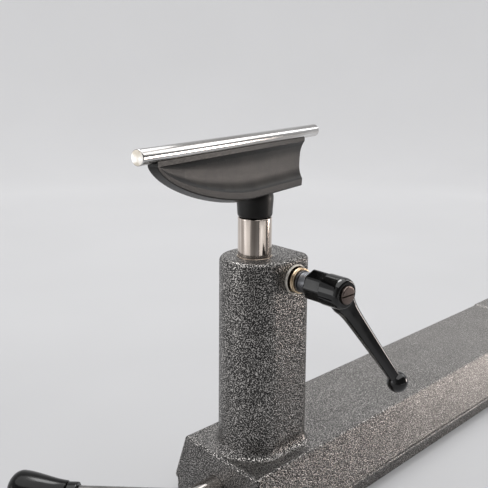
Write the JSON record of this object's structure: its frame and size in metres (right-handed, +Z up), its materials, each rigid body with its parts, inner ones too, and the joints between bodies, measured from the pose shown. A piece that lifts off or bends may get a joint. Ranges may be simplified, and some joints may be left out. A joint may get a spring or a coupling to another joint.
{
  "type": "lathe tool rest in its holder",
  "caption": "Wood-lathe tool rest with a ground bar on a round post, clamped by an indexing lever in the bored column of a long hollow cast arm with an eccentric lever and yoke.",
  "frame": {"origin": "on the arm's foot plane, straight under the axis of the tool rest's post", "axes": "+X along the arm away from its lever, +Z up along the post, the post's clamp lever on the -Y side"},
  "size_m": [0.6353, 0.2202, 0.3029],
  "materials": {
    "hammered_paint": "hammered dark grey paint with silver flecks over cast iron",
    "satin_black_paint": "satin black paint over cast iron",
    "ground_steel": "ground and lightly brushed",
    "dark_steel": "oiled dark steel",
    "gloss_black_metal": "gloss black coating over die-cast zinc",
    "gloss_black_plastic": "moulded, gloss black",
    "brass": "turned",
    "bronze": "sintered bronze, oiled"
  },
  "bodies": {
    "holder": {"banjo_casting": "hammered_paint", "shaft_front_bush": "bronze", "shaft_tail_bush": "bronze", "cotter_outer": "brass"},
    "post": {"tool_rest_post": "ground_steel"},
    "rest_head": {"tool_rest_casting": "satin_black_paint", "tool_rest_bar": "ground_steel"},
    "post_clamp": {"clamp_stud": "dark_steel", "thrust_washer": "dark_steel", "lever_insert": "dark_steel", "lever_screw": "dark_steel"},
    "clamp_lever": {"lever_handle": "gloss_black_metal", "lever_spring": "dark_steel"},
    "draw_cotter": {"cotter_inner": "brass"},
    "cam_shaft": {"eccentric_shaft": "ground_steel", "shaft_collar": "dark_steel", "collar_grub_screw": "dark_steel", "cam_lever_rod": "ground_steel", "grip_ferrule": "gloss_black_metal", "cam_lever_grip": "gloss_black_plastic"},
    "yoke_guide": {"yoke_guide_plate": "dark_steel"},
    "yoke": {"clamp_yoke": "dark_steel"}
  },
  "joints": [
    {"name": "rest_height", "type": "slide", "parent": "holder", "child": "post", "axis": [0, 0, 1], "range_m": [-0.029, 0.065]},
    {"name": "rest_swivel", "type": "hinge", "parent": "post", "child": "rest_head", "pos_m": [0, 0, 0.24], "axis": [0, 0, 1], "continuous": true},
    {"name": "post_clamp_turn", "type": "hinge", "parent": "holder", "child": "post_clamp", "pos_m": [0.017, 0, 0.1936], "axis": [0, 1, 0], "range_deg": [-180, 20]},
    {"name": "handle_lift", "type": "slide", "parent": "post_clamp", "child": "clamp_lever", "axis": [0, -1, 0], "range_m": [0, 0.0035], "stiffness_N_per_m": 800, "springref_m": -0.004, "deforming": ["lever_spring"]},
    {"name": "cotter_draw", "type": "slide", "parent": "holder", "child": "draw_cotter", "axis": [0, -1, 0], "range_m": [-0.0007, 0.0001]},
    {"name": "cam_lever", "type": "hinge", "parent": "holder", "child": "cam_shaft", "pos_m": [0, 0.003, 0.0239], "axis": [1, 0, 0], "range_deg": [0, 110]},
    {"name": "yoke_travel", "type": "slide", "parent": "holder", "child": "yoke_guide", "axis": [1, 0, 0], "range_m": [-0.12, 0.175]},
    {"name": "yoke_lift", "type": "slide", "parent": "yoke_guide", "child": "yoke", "axis": [0, 0, 1], "range_m": [0, 0.005]}
  ],
  "couplings": [
    {"joint": "cotter_draw", "follows": "post_clamp_turn", "m_per_rad": 0.00019894},
    {"joint": "yoke_lift", "follows": "cam_lever", "m_per_rad": 0.00256}
  ]
}
